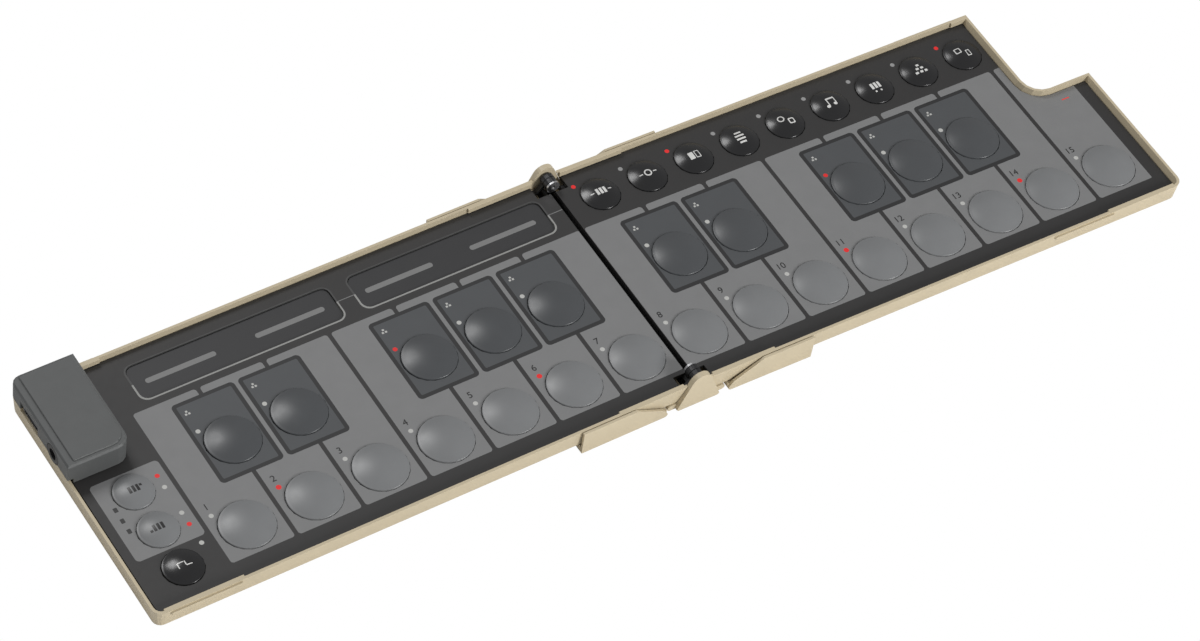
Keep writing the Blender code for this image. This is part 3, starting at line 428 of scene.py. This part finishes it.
def pad_mesh(name, centre, radius):
    """Closed pad turned about its axis.

    Over the straight edge the height is the edge plus the crown times one minus the
    share of the radius squared; a small quarter round joins the two.
    """
    pads = bpy.context.scene.keyboard_pads
    share = np.linspace(0.0, 1.0, 14)[:, None]
    crown_radius = radius - PAD_ROUND_OFF
    top = pads.rise - (pads.rise - pads.edge) * (share * crown_radius / radius) ** 2
    bend = np.linspace(math.pi / 2, 0.0, 6)[1:, None]
    edge_radius = crown_radius + PAD_ROUND_OFF * np.cos(bend)
    edge_height = top[-1] - PAD_ROUND_OFF * (1 - np.sin(bend))
    radii = np.vstack([share[1:] * crown_radius, edge_radius, [[radius]], [[0.45 * radius]]])
    heights = np.vstack([top[1:], edge_height, [[PAD_FLOOR]], [[PAD_FLOOR]]])
    angle = np.linspace(0.0, 2 * math.pi, pads.spokes, endpoint=False)[None, :]
    x, y = centre[0] + radii * np.cos(angle), centre[1] + radii * np.sin(angle)
    grid = np.stack([x, y, heights + 0 * angle], axis=-1)
    rows, columns = grid.shape[:2]
    index = np.arange(rows * columns).reshape(rows, columns)
    after = np.roll(index, -1, axis=1)
    quads = np.stack([index[:-1], index[1:], after[1:], after[:-1]], axis=-1).reshape(-1, 4)
    points = np.vstack([grid.reshape(-1, 3), [[*centre, pads.rise], [*centre, PAD_FLOOR]]])
    tip, base = rows * columns, rows * columns + 1
    faces = quads.tolist()
    faces += [[tip, int(a), int(b)] for a, b in zip(index[0], after[0])]
    faces += [[base, int(b), int(a)] for a, b in zip(index[-1], after[-1])]
    mesh = bpy.data.meshes.new(name)
    mesh.from_pydata(points.tolist(), [], faces)
    mesh.shade_smooth()
    mesh.validate()
    return mesh


class KeyboardOperator(bpy.types.Operator):
    """Base of the keyboard's operators."""

    bl_options = {"REGISTER"}

    def execute(self, context):
        """Run the step."""
        self.work(context)
        return {"FINISHED"}


class KEYBOARD_OT_finishes(KeyboardOperator):
    """Give every carried node its finish."""

    bl_idname = "keyboard.finishes"
    bl_label = "Finishes"

    def work(self, context):
        """Pick each node's finish by its slot, with prints on decks and strips."""
        slots = {row["node"]: row["material_slot"] for row in FRAME["record"]["subparts"]}
        for name, node in FRAME["nodes"].items():
            if name.endswith("_deck"):
                made = deck_finish(-1 if name.startswith("left") else 1)
            elif name.startswith("touch_strip"):
                made = strip_finish(name)
            elif name in ("left_case", "right_case", "spine"):
                made = case_finish(name)
            else:
                made = plain_finish(slots[name])
            node.data.materials.clear()
            node.data.materials.append(made)


class KEYBOARD_OT_pads(KeyboardOperator):
    """Turn a fine pad over each sprung dome."""

    bl_idname = "keyboard.pads"
    bl_label = "Pads"

    def work(self, context):
        """Read each dome's place and radius from its node."""
        slots = {row["node"]: row["material_slot"] for row in FRAME["record"]["subparts"]}
        for name in FRAME["nodes"]:
            if "key_" not in name and "button" not in name:
                continue
            low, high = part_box(name)
            side = -1 if low[0] < 0 else 1
            middle = Vector(((low[0] + high[0]) / 2, (low[1] + high[1]) / 2, high[2]))
            local = half_matrix(side).inverted() @ middle
            radius = (high[1] - low[1]) / 2
            body = name + "_body"
            piece = add_piece(pad_mesh(name + "_pad", (local.x, local.y), radius), name + "_pad", body,
                              side)
            piece.data.materials.append(pad_finish(name, slots[name], middle))
            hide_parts(name)


class KEYBOARD_OT_numbers(KeyboardOperator):
    """Print a plain number beside each front key."""

    bl_idname = "keyboard.numbers"
    bl_label = "Numbers"

    def work(self, context):
        """Numbers as thin solid text over the deck."""
        for number in range(1, KEY_COUNT + 1):
            side = -1 if number <= LAST_LEFT_KEY else 1
            curve = bpy.data.curves.new("number", "FONT")
            curve.body = str(number)
            curve.size = NUMBER_SIZE
            curve.extrude = 0.00001
            curve.align_x = "CENTER"
            curve.align_y = "CENTER"
            source = bpy.data.objects.new("number", curve)
            context.scene.collection.objects.link(source)
            graph = context.evaluated_depsgraph_get()
            mesh = bpy.data.meshes.new_from_object(source.evaluated_get(graph))
            bpy.data.objects.remove(source, do_unlink=True)
            offset, y, z = NUMBER_PLACE
            x = (number - SEAM_COUNT) * KEY_PITCH + offset + print_shift(side)
            mesh.transform(Matrix.Translation((x, y, z)))
            mesh.materials.clear()
            mesh.materials.append(plain_finish("number_print"))
            add_piece(mesh, "number_%02d" % number, "left_half" if side < 0 else "right_half",
                      side)


class KEYBOARD_OT_stage(KeyboardOperator):
    """Pale floor, soft lamps and the photograph's camera."""

    bl_idname = "keyboard.stage"
    bl_label = "Stage"

    def work(self, context):
        """Floor, world, lamps and camera."""
        scene = context.scene
        settings = scene.keyboard_stage
        mesh = bpy.data.meshes.new("floor")
        reach = 4.0
        mesh.from_pydata([(-reach, -reach, 0), (reach, -reach, 0), (reach, reach, 0), (-reach, reach, 0)],
                         [], [(0, 1, 2, 3)])
        floor = bpy.data.objects.new("floor", mesh)
        scene.collection.objects.link(floor)
        net = Net("floor_paper")
        paper = net.close((0.9, 0.9, 0.9), 0.8, bump=0.02, mottle=0.005)
        glow = net.tree.nodes.new("ShaderNodeEmission")
        glow.inputs["Color"].default_value = (1.0, 1.0, 1.0, 1.0)
        mix = net.tree.nodes.new("ShaderNodeMixShader")
        path = net.tree.nodes.new("ShaderNodeLightPath")
        net.tree.links.new(path.outputs["Is Camera Ray"], mix.inputs[0])
        net.tree.links.new(net.shader.outputs[0], mix.inputs[1])
        net.tree.links.new(glow.outputs[0], mix.inputs[2])
        net.tree.links.new(mix.outputs[0], net.tree.nodes["Material Output"].inputs["Surface"])
        floor.data.materials.append(paper)
        world = bpy.data.worlds.new("studio")
        scene.world = world
        world.use_nodes = True
        world.node_tree.nodes["Background"].inputs["Color"].default_value = (1.0, 1.0, 1.0, 1.0)
        world.node_tree.nodes["Background"].inputs["Strength"].default_value = 0.36
        for name, place, power, size in (("main", (0.7, -1.5, 0.75), settings.key_power, 0.5),
                                         ("back", (-0.2, 1.1, 1.3), settings.key_power * 0.45, 0.6)):
            lamp = bpy.data.lights.new(name, "AREA")
            lamp.energy = power
            lamp.size = size
            made = bpy.data.objects.new(name, lamp)
            made.location = place
            made.rotation_euler = (-Vector(place)).to_track_quat("-Z", "Y").to_euler()
            scene.collection.objects.link(made)
        camera = bpy.data.cameras.new("camera")
        camera.sensor_width = 36.0
        camera.lens = settings.focal_pixels / 1200 * camera.sensor_width
        camera.clip_start, camera.clip_end = 0.05, 20.0
        made = bpy.data.objects.new("camera", camera)
        right = Vector((0.845, -0.5246, 0.1041)).normalized()
        ahead = Vector((0.398, 0.4867, -0.7777)).normalized()
        up = right.cross(ahead)
        spot = Vector((-0.5160, -0.6252, 0.9836))
        basis = Matrix((right, up, -ahead)).transposed().to_4x4()
        made.matrix_world = half_matrix(-1) @ Matrix.Translation(spot) @ basis
        scene.collection.objects.link(made)
        scene.camera = made
        scene.view_settings.view_transform = "Standard"


class KEYBOARD_PT_panel(bpy.types.Panel):
    """Buttons for each step."""

    bl_label = "Keyboard"
    bl_space_type = "VIEW_3D"
    bl_region_type = "UI"
    bl_category = "Keyboard"

    def draw(self, context):
        """One button for each operator."""
        for step in STEPS:
            self.layout.operator(step.bl_idname)


STEPS = (KEYBOARD_OT_finishes, KEYBOARD_OT_pads, KEYBOARD_OT_numbers, KEYBOARD_OT_stage)
GROUPS = {"keyboard_prints": PrintSettings, "keyboard_pads": PadSettings, "keyboard_stage": StageSettings}


def register():
    """Register every class and hang the settings on the scene."""
    for group in (*GROUPS.values(), *STEPS, KEYBOARD_PT_panel):
        bpy.utils.register_class(group)
    for name, group in GROUPS.items():
        setattr(bpy.types.Scene, name, bpy.props.PointerProperty(type=group))


def unregister():
    """Undo register."""
    for name in GROUPS:
        delattr(bpy.types.Scene, name)
    for group in reversed((*GROUPS.values(), *STEPS, KEYBOARD_PT_panel)):
        bpy.utils.unregister_class(group)


def main():
    """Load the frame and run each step."""
    FRAME.update(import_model())
    register()
    bpy.ops.keyboard.finishes()
    bpy.ops.keyboard.pads()
    bpy.ops.keyboard.numbers()
    bpy.ops.keyboard.stage()


if __name__ == "__main__":
    main()
